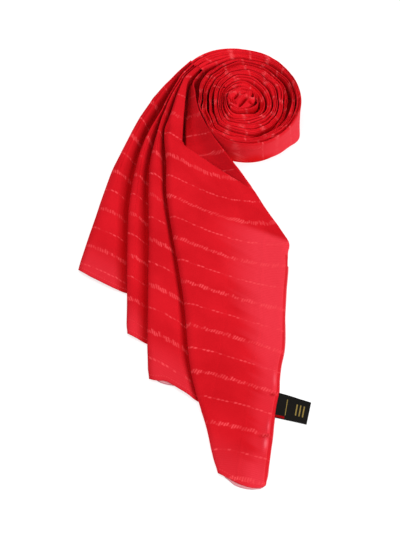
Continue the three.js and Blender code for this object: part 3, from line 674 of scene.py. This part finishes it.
# Left side of a pleat from the ground to its crest
def pleatSide(foot, fold, seat, crest, crestAlong):
    rise = crest - seat
    flat = np.full_like(foot, groundHeight)
    return [(foot + 1.2, flat), (foot + 0.2, flat + 0.5), (foot, np.maximum(seat - 0.5, 1.2)),
            (fold + 0.3, seat + 0.3 * rise), (fold, seat + 0.5 * rise),
            (fold + 0.22 * crestAlong, seat + 0.76 * rise),
            (fold + 0.55 * crestAlong, seat + 0.94 * rise), (fold + crestAlong, crest)]


# Small wrinkles along the cloth, strongest where it is drawn together at the roll
def wrinkle(points, along, across, seed, depth):
    noise = (sheetNoise(across / 7.0, along / 46.0, seed)
             + 0.5 * sheetNoise(across / 3.1 + 9, along / 27.0, seed + 1))
    return points + surfaceNormals(points) * (noise * depth)[..., None]


# A narrow hem turned over the end of a pleat, and its row of stitches
def addHem(name, points, cloth, rim, thin, rows, columns, rise, nodes):
    strip = points[rows, columns] + surfaceNormals(points)[rows, columns] * rise
    mesh = gridMesh(name, strip, cloth[rows, columns], rim[rows, columns], thin[rows, columns])
    return addPiece(name, mesh, crepe, nodes, thickness=0.2)


def declareSheet(points):
    width = float(walk(points, 1)[:, -1].mean()) * 0.001
    sheetArea(points) * 1e-6 / width


def addSheet(name, points, cloth, material, nodes, thickness=clothThickness, **maps):
    piece = addPiece(name, gridMesh(name, points, cloth, **maps), material, nodes,
                     thickness=thickness)
    declareSheet(points)


# How far each pleat's hem, and the layer inside it, lie behind their last line, by distance
# from the fold
hemRows = {
    1: np.array([[0, -2.2, 3], [8, -2.5, 3], [15, -3.1, 3], [41, -3.3, 3], [48, -2.1, 3], [56, -0.7, 3]]),
    2: np.array([[0, -1, 3], [6, -0.9, 3], [12, -0.8, 3], [22, -0.4, 3]]),
    3: np.array([[0, -1, 3.4], [4, 0, 3.2], [8, 1.4, 2.6], [10.6, 2.8, 2.4], [13, 4.2, 2.6],
                 [17.5, 5, 3.5], [22.6, 4.6, 5.2], [26.6, 4.2, 6.8], [38, 3.2, 6], [46, 2, 4.2],
                 [60, 1.8, 4]])}


# Hidden layers that show at a pleat's hem: one more layer folded back on itself inside
# the pleat, following its top at a third and two thirds of its height. Shift is how far
# its end lies behind the pleat's last line.
def layInside(name, c, z, line, nodes, bow, shift, along, first):
    keep = along < 46
    c, rise = c[keep][:, first:], z[keep][:, first:] - layerLift
    share = np.linspace(1, 0, c.shape[1])
    c = np.concatenate([(c + 0.9 * share)[:, ::-1], c + 0.5 * share], axis=1)
    z = layerLift + np.concatenate([(rise * 0.34)[:, ::-1], rise * 0.68], axis=1)
    cut = {k: v[keep] for k, v in line.items()}
    moved = shift(c, cut) * smoothStep(along[keep], 12, 0)[:, None]
    points = fanPoints(cut, c, z, bow(c, keep) + moved)
    addSheet(name, points, pairUp(walk(points, 1) + 330, along[keep][:, None]), paleCrepe, nodes, 0.3)


# The side of a fold and the layer on the ground end behind the hem above them, by half the
# height between them. Start is where the side reaches its crest.
def footRetreat(c, z, start, crest, at, last):
    side = np.where(c < start[:, None], crest[:, None] - z, 0)
    below = crest[:, None] * smoothStep(z, 1.6, 0.6)
    return hemRetreat * smoothStep(at, last - 0.7, last)[:, None] * np.maximum(side, below)


# How far before the next fold pleat three's slope begins, by row
kneeRows = np.array([[0, 13], [9, 12], [10, 10.5], [12, 7.5], [14, 8], [18, 9], [22, 12], [24, 12]])


# Pleats one to three: a rounded fold on the left, then a slope into the dark valley under
# the next pleat. The sheet comes back to the ground behind its fold and runs flat below.
def layPleat(index, start0, stretch, tilt, seed):
    _, line = fanLines(0, hemRow[index], 2.0)
    fold, nextFold = line[f"fold{index}"], line[f"fold{index + 1}"]
    crest, valley = line[f"crest{index}"], line[f"valley{index}"]
    low = np.maximum(valley * valleyShare, 1.1)
    seat = (line[f"valley{index - 1}"] * valleyShare + 0.45) if index > 1 else np.full_like(fold, 0.8)
    rowAt = np.linspace(0, hemRow[index], len(fold))
    if index > 1:
        seat = np.where(rowAt > hemRow[index - 1] + 0.4, 0.45, seat)
    crestAlong = np.maximum(0.28 * (nextFold - fold), 1.0)
    start = fold + crestAlong
    end = nextFold + tuckOf(line, index + 1) - 0.4
    corners = [(end - 0.4, groundHeight), (0.5 * (end + fold), groundHeight)]
    corners += pleatSide(fold + tuckOf(line, index), fold, seat, crest, crestAlong)
    width, height = nextFold - fold, crest - low
    kneeBack = lookUp(rowAt, kneeRows) if index == 3 else 15.5
    knee = np.maximum(nextFold - kneeBack, fold + 0.35 * width)
    bottom = nextFold - np.minimum(1.5, 0.1 * width)
    corners += [(start + (knee - start) * share, crest - height * 0.12 * share ** 2)
                for share in (0.33, 0.67, 1.0)]
    for share in (0.2, 0.4, 0.6, 0.8, 1.0):
        fall = 0.5 + 0.5 * math.cos(math.pi * share)
        corners.append((knee + (bottom - knee) * share, low + 0.88 * height * fall))
    corners.append((end, low))
    c, z = crossSections(corners, 76, 0.75)
    last = hemRow[index]
    ending = smoothStep(rowAt, last - 3, last)[:, None]

    def hemShift(c, cut, column):
        return lookUp(c - cut[f"fold{index}"][:, None], hemRows[index], column)

    rise = hemShift(c, line, 1) * ending + footRetreat(c, z, start, crest, rowAt, last)
    points = fanPoints(line, c, z, rise)
    along = squareDistance(line, points)
    across = walk(points, 1)
    drawn = smoothStep(along, 60, along[0])[:, None]
    points = wrinkle(points, along[:, None], across, seed, 0.16 + 0.2 * drawn)
    points[..., 2] = np.maximum(points[..., 2], groundHeight)
    cloth = pairUp(across + 200 + 90 * index,
                   1.5 * stripePitch + start0 + stretch * (along[:, None] + rise) + tilt * across)
    rim = pairUp(across + 90, along[:, None])
    thin = 0.45 * smoothStep(along, 42, 6)[:, None] + 0.0 * across
    # painted shade: the slope is painted darker as it falls from the crest into the valley under the next
    # pleat
    deep = np.clip((crest[:, None] - z) / np.maximum(height, 3)[:, None], 0, 1) ** 1.1
    nodes = [f"fan_pleat_{index}"]
    mesh = gridMesh(f"pleat_{index}_cloth", points, cloth, rim, thin, deep)
    piece = addPiece(f"pleat_{index}_cloth", mesh, crepe, nodes)
    rows = slice(int((along > 4.2).sum()) - 1, None)
    hem = addHem(f"pleat_{index}_hem", points, cloth, rim, thin, rows, slice(24, None), 0.2, nodes)
    declareSheet(points)
    layInside(f"pleat_{index}_inside", c, z, line, nodes, lambda c, keep: 0.0,
              lambda c, cut: hemShift(c, cut, 2), along, 32)
    print("stage pleat", index, points.shape)


layPleat(1, -4.8, 0.977, -0.034, 101)
layPleat(2, -14.4, 1.02, 0.008, 111)
layPleat(3, -18.6, 0.965, 0.034, 121)


# Distance along the cloth on the broad pleat, a cubic in tenths of metres that sets how
# its stripes run and bend
def stripeRow(x, y):
    return (199.5 + y * (96.9 + y * (0.37 - 1.65 * y)) + x * (34.7 + y * (9.25 - 7.22 * y))
            - x * x * (1.83 + 26.5 * y) - 17.5 * x ** 3 + 0.5 * stripePitch)


# Share of the hem's bow, and how far the layer inside lies past the hem, across the pleat
bowRows = np.array([[0, 0, -0.6], [0.1, 0.01, -0.5], [0.16, 0.01, -0.2], [0.28, 0, 0.8],
                    [0.42, -0.02, 2.1], [0.54, 0.01, 2.1], [0.68, 0.1, 1.7], [0.79, 0.22, 1.1],
                    [0.94, 0.52, 0.3], [0.98, 0.77, -0.5], [1, 1, -0.8]])


def acrossBroad(line, c, column):
    reach = (c - line["fold4"][:, None]) / (line["edge"] - line["fold4"])[:, None]
    return lookUp(reach, bowRows, column)


def bowAt(line, c):
    return line["hemBow"][:, None] * acrossBroad(line, c, 1)


# The broad fourth pleat below the diagonal fold
def layBroad():
    at, line = fanLines(diagonalRow, hemRow[4], 1.9)
    rows = np.arange(diagonalRow, hemRow[4] + 1)
    for i, key in enumerate(("edge", "edgeHeight", "middle", "hemBow")):
        line[key] = smoothTable(at, rows, broadRows[:, i])
    line["edge"] = line["edge"] - layerPeek * smoothStep(at, 12.4, 13.2)
    line["hemBow"] = np.maximum(line["hemBow"], 0)
    fold, crest, edge = line["fold4"], line["crest4"], line["edge"]
    crestAlong = np.minimum(0.1 * (edge - fold), 7)
    start = fold + crestAlong
    seat = np.where(at > hemRow[3] + 0.3, 0.45, np.maximum(line["valley3"] * valleyShare, 0) + 0.45)
    freeEdge = smoothStep(at, 12.2, 13.6)
    corners = [(edge - 9, groundHeight), (0.6 * edge + 0.4 * fold, groundHeight),
               (0.2 * edge + 0.8 * fold, groundHeight)]
    corners += pleatSide(fold + tuckOf(line, 4), fold, seat, crest, crestAlong)
    for share in (0.05, 0.11, 0.18, 0.26, 0.34, 0.42, 0.5, 0.58, 0.66, 0.74, 0.82, 0.89, 0.95):
        z = (crest * (1 - share) * (1 - 2 * share) + line["middle"] * 4 * share * (1 - share)
             + line["edgeHeight"] * share * (2 * share - 1))
        corners.append((start + (edge - start) * share, z))
    low = line["edgeHeight"] - 0.6 - (line["edgeHeight"] - 2.4) * freeEdge
    corners += [(edge - 1.2, low + 0.5), (edge - 0.1, low - 0.1), (edge, low - 0.6)]
    corners += [(edge - 0.05, 1.8 * freeEdge + 0.4 * (1 - freeEdge))]
    c, z = crossSections(corners, 190, 0.92)
    bow = bowAt(line, c) + footRetreat(c, z, start, crest, at, hemRow[4])
    points = fanPoints(line, c, z, bow)
    back = squareDistance(line, points)
    across = walk(points, 1)
    fromEdge = across[:, -1:] - across
    along = stripeRow(points[..., 0] / 100, points[..., 1] / 100)
    top = smoothStep(c - fold[:, None], 2, 9) * (z > 1.3)
    # faint creases where the strip was folded, up and down in turn
    strip = (fromEdge + 6) / foldPitch
    folds = (np.abs(strip % 1 - 0.5) - 0.5) * foldPitch
    shallow = 0.34 * np.exp(-(folds / 1.5) ** 2) * np.where(((strip + 0.5) // 1) % 2, 1, -0.8)
    swell = (0.55 * sheetNoise(across / 38, back[:, None] / 64 + 3, 7)
             + 0.18 * sheetNoise(across / 14, back[:, None] / 33, 8))
    toCorner = points[..., 0] - 89, points[..., 1] - 26.5
    beside = -(toCorner[0] * 0.37 + toCorner[1] * 0.929)
    out = toCorner[0] * 0.929 - toCorner[1] * 0.37
    cornerFold = smoothStep(out, -62, -18) * (0.9 * np.exp(-((beside - 1.5) / 4.2) ** 2)
                                              - 0.7 * np.exp(-((beside + 6) / 6.0) ** 2))
    lift = (shallow + swell + cornerFold) * top
    # small curls beside the selvage, a pinched crease between the lower two and one above
    spots = np.array([[108, 6.5, 9, 2, 0.6], [63, 6, 6, 1.4, 0.8], [46, 6.6, 7, 2.4, 1]])
    curls = sum(size * np.exp(-((back[:, None] - b) / w) ** 2 - ((fromEdge - s) / n) ** 2)
                for b, s, w, n, size in spots)
    pinch = sum(np.exp(-((back[:, None] - b + 0.54 * fromEdge) / 1.7) ** 2)
                * smoothStep(fromEdge, far, 7) * smoothStep(fromEdge, 3.5, 5)
                for b, far in ((57.6, 19), (98, 12)))
    lift = lift + (1.5 * curls - 1.2 * pinch) * (z > 1.3)
    points[..., 2] += lift
    points[..., 2] = np.maximum(points[..., 2], groundHeight)
    # the diagonal fold: right of the neck the first lines curl down and under
    firstC, high = c[:1], z[:1] > 2
    hooded = smoothStep(firstC, 57.6, 61) * high * smoothStep(edge[0] - firstC, 0, 8)
    flapTop = 6.2 + (firstC - 58.6) / 89 * 4.2
    turn = math.radians(fanRows[diagonalRow, 2])
    outwards = np.array([-math.sin(turn), math.cos(turn)])
    hood = []
    curl = ((0.15, 1.0), (0.75, 0.55), (0.85, 0.28), (0.5, 0.1), (0.2, 0.03))
    for k, (push, drop) in enumerate(curl):
        row = points[:1].copy()
        row[..., 2] -= drop * np.clip(row[..., 2] - flapTop - 0.3, 0.6, 20) * hooded
        under = (5 - k) * (1 - hooded) * high * (firstC < 61)
        row[..., 2] -= 0.07 * under
        row[..., :2] += outwards * (push * hooded + 0.5 * under)[..., None]
        hood.append(row)
    points = np.concatenate(hood + [points], axis=0)
    extra = len(hood)

    def repeatFirst(values):
        return np.concatenate([values[:1]] * extra + [values])

    along = np.concatenate([along[:1] + 0.7 * (extra - i) for i in range(extra)] + [along])
    fromEdge, back, beside = repeatFirst(fromEdge), repeatFirst(back), repeatFirst(beside)
    cloth = pairUp(fromEdge, along)
    freeSide = np.where(np.arange(len(back)) > extra + np.searchsorted(at, 13.1), 0, 60)[:, None]
    rim = pairUp(fromEdge + freeSide, back[:, None])
    reachIn = 24 + 52 * smoothStep(back, 60, 235)[:, None] + 7 * lineNoise(back / 3.1, 9)[:, None]
    thin = (0.9 * smoothStep(fromEdge, reachIn * 1.15, reachIn * 0.35) * smoothStep(beside, -3, 5)
            * (0.4 + 0.6 * smoothStep(back, 60, 165)[:, None])
            + 0.45 * smoothStep(back, 42, 8)[:, None])
    hoodless = np.zeros((extra, points.shape[1]))
    # painted highlight: the curls beside the selvage are painted pale pinkish white, where the lifted
    # cloth lets light through
    thin = np.clip(thin, 0, 1) + 1.3 * np.concatenate([hoodless, curls])
    # painted shade: the broad pleat is painted darker towards its hem, away from the selvage, and the
    # pinched creases are painted darker too
    dim = 0.27 * smoothStep(back, 170, 70)[:, None] * smoothStep(fromEdge, 4, 30)
    deep = dim + np.concatenate([hoodless, 0.9 * pinch])
    nodes = ["fan_pleat_4"]
    mesh = gridMesh("pleat_4_cloth", points, cloth, rim, thin, deep)
    piece = addPiece("pleat_4_cloth", mesh, crepe, nodes)
    rows = slice(int((back > 4.2).sum()) - 1, None)
    hem = addHem("pleat_4_hem", points, cloth, rim, thin, rows, slice(96, None), 0.2, nodes)
    edgeFrom = points.shape[1] - int((fromEdge[-1] < 4.0).sum())
    sideRows = slice(extra + int(np.searchsorted(at, 13.1)), None)
    side = addHem("pleat_4_selvage", points, cloth, rim, thin, sideRows, slice(edgeFrom, None), 0.2,
                  nodes)
    declareSheet(points)
    layInside("pleat_4_inside", c[:, :-4], z[:, :-4], line, nodes,
              lambda c, keep: bowAt({k: v[keep] for k, v in line.items()}, c),
              lambda c, cut: -acrossBroad(cut, c, 2), back[extra:], 98)
    print("stage broad pleat", points.shape)
    topOnly = (z[0] > 12) & (c[0] > fold[0] + 0.5)
    return line, at, c[0, topOnly], points[extra, topOnly, 2]


broadLine, broadAt, joinAcross, joinHeight = layBroad()


# The neck of pleat four above the diagonal fold, and the flap between it and the roll
def layNeck():
    at, line = fanLines(0, diagonalRow, 1.6)
    rows = np.arange(0, diagonalRow + 1)
    edge, edgeHeight = (smoothTable(at, rows, neckRows[:, i]) for i in range(2))
    fold, crest = line["fold4"], line["crest4"]
    crestAlong = np.minimum(0.3 * (edge - fold), 7)
    start = fold + crestAlong
    seat = line["valley3"] * valleyShare + 0.45
    corners = [(edge - 0.9, groundHeight)]
    corners += pleatSide(fold + tuckOf(line, 4), fold, seat, crest, crestAlong)
    for share in (0.3, 0.6, 0.85):
        sag = 0.8 * math.sin(math.pi * share)
        corners.append((start + (edge - start) * share, crest + (edgeHeight - crest) * share - sag))
    corners += [(edge - 0.5, edgeHeight - 0.1), (edge, edgeHeight - 1.2), (edge - 0.3, edgeHeight - 4),
                (edge - 0.5, 0.5)]
    c, z = crossSections(corners, 72, 0.8)
    points = fanPoints(line, c, z)
    along = squareDistance(line, points)
    across = walk(points, 1)
    fade = smoothStep(along, 0, 12)[:, None]
    points = wrinkle(points, along[:, None], across, 131, 0.22 * fade)
    onTop = (z > edgeHeight[:, None] - 2) * (c > fold[:, None] + 0.4)
    joined = np.interp(c, joinAcross, joinHeight) - 0.03
    blend = smoothStep(at, 6.6, 9)[:, None] * onTop * smoothStep(edge[:, None] - c, 0, 3)
    points[..., 2] += blend * (joined - points[..., 2])
    cloth = pairUp(across[:, -1:] - across + 95, stripeRow(points[..., 0] / 100, points[..., 1] / 100))
    addSheet("neck_cloth", points, cloth, crepe, ["fan_pleat_4_neck"])


def layFlap():
    at, line = fanLines(0, diagonalRow, 1.6)
    rows = np.arange(0, diagonalRow + 1)
    edge = smoothTable(at, rows, neckRows[:, 0])
    foot, footHeight, crest, crestHeight = (smoothTable(at, rows, flapRows[:, i]) for i in range(4))
    low = np.maximum(footHeight * 0.5, 5)
    foothold = 4.5 * smoothStep(at, 8, 5)
    corners = [(crest + foothold - 1.2, groundHeight), (0.5 * (crest + edge), groundHeight),
               (edge + 0.6, groundHeight), (edge + 0.1, 1.2), (edge + 0.1, low - 0.4),
               (0.5 * (edge + foot), low), (foot, footHeight - 1.2), (foot + 0.5, footHeight)]
    for share in (0.2, 0.4, 0.6, 0.8, 0.93):
        sag = 0.06 * (crest - foot) * math.sin(math.pi * share)
        corners.append((foot + 0.5 + (crest - foot - 0.5) * share,
                        footHeight + (crestHeight - footHeight) * share - sag))
    corners += [(crest - 0.3, crestHeight - 0.4), (crest, crestHeight - 1.8),
                (crest + 0.2 * foothold - 0.3, crestHeight * 0.5), (crest + foothold - 0.5, 0.5)]
    c, z = crossSections(corners, 96, 0.8)
    points = fanPoints(line, c, z)
    along = squareDistance(line, points)
    across = walk(points, 1)
    points = wrinkle(points, along[:, None], across, 141, 0.2)
    points[..., 2] = np.maximum(points[..., 2], groundHeight)
    t = 0.866 * points[..., 1] + 0.5 * points[..., 2] - 0.13 * points[..., 0]
    cloth = pairUp(across + 520, 4.5 * stripePitch + 1.016 * (t - 116.8))
    # painted shade: the flap is painted darker towards the neck's edge, and the slit beside the neck near
    # black as a painted shadow
    inShade = smoothStep(c, edge[:, None] + 26, edge[:, None] - 2)
    reach = edge + 1 + 3.2 * smoothStep(at, 3, 8)
    slit = smoothStep(c, reach[:, None] + 1.2, reach[:, None] - 0.4) * smoothStep(at, 2, 5)[:, None]
    addSheet("flap_cloth", points, cloth, crepe, ["fan_flap"], deep=0.34 * inShade + 1.6 * slit)


layNeck()
layFlap()


# The layer below that shows past the selvage
def layUnderLayer():
    keep = broadAt > 13.6
    line = {k: v[keep] for k, v in broadLine.items()}
    edge = line["edge"]
    peek = layerPeek * (0.85 + 0.25 * lineNoise(broadAt[keep] * 1.1, 151))
    peek = peek * smoothStep(broadAt[keep], 27, 26.2)
    corners = [(edge - 26, 0.9), (edge - 12, 0.9), (edge - 5, 0.9), (edge + 0.3, 0.95),
               (edge + peek - 0.3, 0.9), (edge + peek, 0.6), (edge + peek - 0.3, 0.4),
               (edge - 2, 0.45)]
    c, z = crossSections(corners, 30, 0.8)
    points = fanPoints(line, c, z, bowAt(line, np.minimum(c, edge[:, None])))
    across = walk(points, 1)
    along = squareDistance(line, points)
    cloth = pairUp(across + 610, along[:, None] + 14)
    addSheet("under_layer_cloth", points, cloth, thinCrepe, ["under_layer"], 0.25)


layUnderLayer()

# Woven label: a folded band of black satin with a few plain bars
labelCorners = np.array([[75.8, -138.9], [104.8, -148.5], [99.5, -171], [71.6, -164.4]])


def labelPaint():
    paint = Paint("label_satin", (0.004, 0.003, 0.002), 0.6, Specular_IOR_Level=0.1)
    across, along = paint.map("cloth")
    gold = (0.26, 0.18, 0.045)

    def bar(x, y, halfX, halfY):
        insideX = 1.0 - (across - x).size().ramp(halfX - 0.15, halfX + 0.15)
        insideY = 1.0 - (along - y).size().ramp(halfY - 0.15, halfY + 0.15)
        return insideX * insideY

    marks = bar(18.0, 11.5, 0.6, 5.5)
    for x, halfX, halfY in ((21.5, 0.6, 5.5), (25.0, 0.6, 5.5), (8.0, 0.35, 7.5)):
        marks = marks + bar(x, 11.5, halfX, halfY)
    marks = marks.clamp()
    thread = paint.noise(paint.point(across * 0.4, along * 4.0), 1.0, 2.0)
    colour = paint.mix(marks * (0.7 + thread * 0.5), (0.004, 0.003, 0.002), gold)
    paint.feed("Base Color", colour)
    weave = ((along * 2.2).fract() - 0.5).size() * 0.4 + thread * 0.3 + marks * 0.4
    paint.feed("Normal", paint.bump(weave, 0.35, 0.0002))
    return paint.material


# Place on the label's four-sided outline, and the arch of its band, by shares u and v
def onLabel(u, v):
    a, b, c, d = labelCorners
    u, v = u[..., None], v[..., None]
    return (a * (1 - u) + b * u) * (1 - v) + (d * (1 - u) + c * u) * v


def labelArch(u):
    return 0.55 + 0.5 * np.sin(np.pi * u * 0.9 + 0.3)


def layLabel():
    u, v = np.meshgrid(np.linspace(-0.13, 1, 45), np.linspace(0, 1, 31))
    flat = onLabel(u, v)
    height = labelArch(u) + 0.35 * sheetNoise(u * 3 + 3, v * 2, 5)
    tucked = smoothStep(u, 0.12, -0.06)
    height = np.maximum(height, 0.5) * (1 - tucked) + 1.05 * tucked
    cloth = np.stack([u * 30.5, v * 23], -1)
    upper = np.concatenate([flat, (height + 0.45 - 0.2 * tucked)[..., None]], axis=-1)
    lower = np.concatenate([flat, (height - 0.1 + 0.1 * tucked)[..., None]], axis=-1)
    loop = np.concatenate([upper, lower[:, ::-1]], axis=1)
    loopCloth = np.concatenate([cloth, cloth[:, ::-1] + [60, 0]], axis=1)
    mesh = gridMesh("label_cloth", loop, loopCloth, flip=True)
    piece = addPiece("label_cloth", mesh, labelPaint(), ["label"], thickness=0.2)
    # the end of the seam allowance that it is sewn to, painted dark as a painted shade where it meets the
    # label
    s, t = np.meshgrid(np.linspace(-0.1, 0.25, 17), np.linspace(0.88, 0.975, 7))
    top = np.maximum(labelArch(s), 0.5) + 0.75 - 0.3 * smoothStep(s, 0.16, 0.24)
    tack = np.concatenate([onLabel(s, t), top[..., None]], axis=-1)
    tackCloth = np.stack([s * 30.5, t * 23], -1)
    mesh = gridMesh("label_tack", tack, tackCloth, deep=1.5, flip=True)
    allowance = addPiece("label_tack", mesh, crepe, ["label"], thickness=0.25)
    declareSheet(loop)


layLabel()


# The camera looks along +Y and 60 degrees down, as the photograph does
cameraDistance = 1.3
cameraPitch = math.radians(60)
pictureHeight = 533
camera = bpy.data.objects.new("camera", bpy.data.cameras.new("camera"))
bpy.context.scene.collection.objects.link(camera)
away = np.array([0, -math.cos(cameraPitch), math.sin(cameraPitch)])
camera.location = layoutShift * 0.001 + cameraDistance * away
camera.rotation_euler = (math.radians(30), 0, 0)
camera.data.sensor_width = 36
camera.data.lens = 36 * 1300 / pictureHeight
camera.data.clip_start = 0.05
bpy.context.scene.camera = camera


# A square lamp that faces the middle of the part
def softLight(name, place, size, watts):
    light = bpy.data.lights.new(name, "AREA")
    light.shape = "RECTANGLE"
    light.size = light.size_y = size
    light.energy = watts
    lamp = bpy.data.objects.new(name, light)
    bpy.context.scene.collection.objects.link(lamp)
    x, y, z = place
    lamp.location = place
    lamp.rotation_euler = (math.acos(z / math.hypot(x, y, z)), 0, math.atan2(-y, -x) - math.pi / 2)


softLight("light_right", (1.5, -1.0, 1.2), 1.2, 22)
softLight("light_left", (-1.5, -0.4, 1.9), 1.0, 12)
softLight("light_top", (0.0, 0.1, 2.2), 1.2, 20)
world = bpy.data.worlds.new("studio")
bpy.context.scene.world = world
world.use_nodes = True
world.node_tree.nodes["Background"].inputs["Color"].default_value = (1, 1, 1, 1)
world.node_tree.nodes["Background"].inputs["Strength"].default_value = 0.4
bpy.context.scene.view_settings.view_transform = "Standard"
